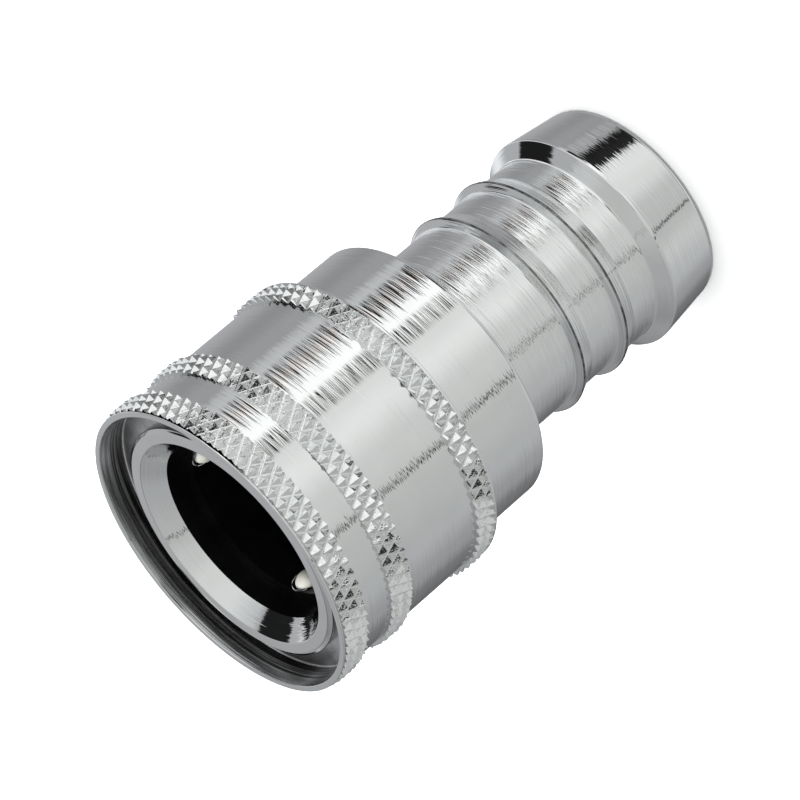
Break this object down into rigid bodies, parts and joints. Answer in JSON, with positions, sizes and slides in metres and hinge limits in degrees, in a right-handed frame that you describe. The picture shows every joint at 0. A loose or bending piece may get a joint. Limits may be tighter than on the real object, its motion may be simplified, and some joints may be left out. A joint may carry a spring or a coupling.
{
  "type": "garden hose quick connector",
  "caption": "Quick-release hose connector: a knurled spring-loaded sleeve frees locking balls that hold a plug, and a barbed tail takes the hose.",
  "frame": {"origin": "centre of the hose tail's end face", "axes": "+Z along the axis towards the plug mouth, +X through the first locking ball"},
  "size_m": [0.028, 0.028, 0.0488],
  "materials": {
    "chromed_brass": "bright chrome plate over turning marks",
    "ball_steel": "polished steel balls",
    "spring_steel": "drawn spring wire",
    "plain_steel": "pressed steel",
    "black_rubber": "moulded nitrile rubber",
    "fibre_gasket": "flat rubber gasket"
  },
  "bodies": {
    "fixed_body": {"hose_tail": "chromed_brass", "socket_body": "chromed_brass", "body_gasket": "fibre_gasket", "plug_seal": "black_rubber", "sleeve_spring": "spring_steel"},
    "washer": {"spring_washer": "plain_steel"},
    "sleeve": {"release_sleeve": "chromed_brass"},
    "ball_1": {"locking_ball_1": "ball_steel"},
    "ball_2": {"locking_ball_2": "ball_steel"},
    "ball_3": {"locking_ball_3": "ball_steel"}
  },
  "joints": [
    {"name": "sleeve_slide", "type": "slide", "parent": "fixed_body", "child": "washer", "axis": [0, 0, 1], "range_m": [-0.0036, 0], "stiffness_N_per_m": 250, "springref_m": 0.012, "deforming": ["sleeve_spring"]},
    {"name": "sleeve_turn", "type": "hinge", "parent": "washer", "child": "sleeve", "pos_m": [0, 0, 0.0399], "axis": [0, 0, 1], "continuous": true},
    {"name": "ball_1_slide", "type": "slide", "parent": "fixed_body", "child": "ball_1", "axis": [1, 0, 0], "range_m": [0, 0.00087]},
    {"name": "ball_2_slide", "type": "slide", "parent": "fixed_body", "child": "ball_2", "axis": [-0.5, 0.866, 0], "range_m": [0, 0.00087]},
    {"name": "ball_3_slide", "type": "slide", "parent": "fixed_body", "child": "ball_3", "axis": [-0.5, -0.866, 0], "range_m": [0, 0.00087]}
  ],
  "couplings": [
    {"joint": "ball_1_slide", "follows": "sleeve_slide", "ratio": -0.23889},
    {"joint": "ball_2_slide", "follows": "sleeve_slide", "ratio": -0.23889},
    {"joint": "ball_3_slide", "follows": "sleeve_slide", "ratio": -0.23889}
  ]
}
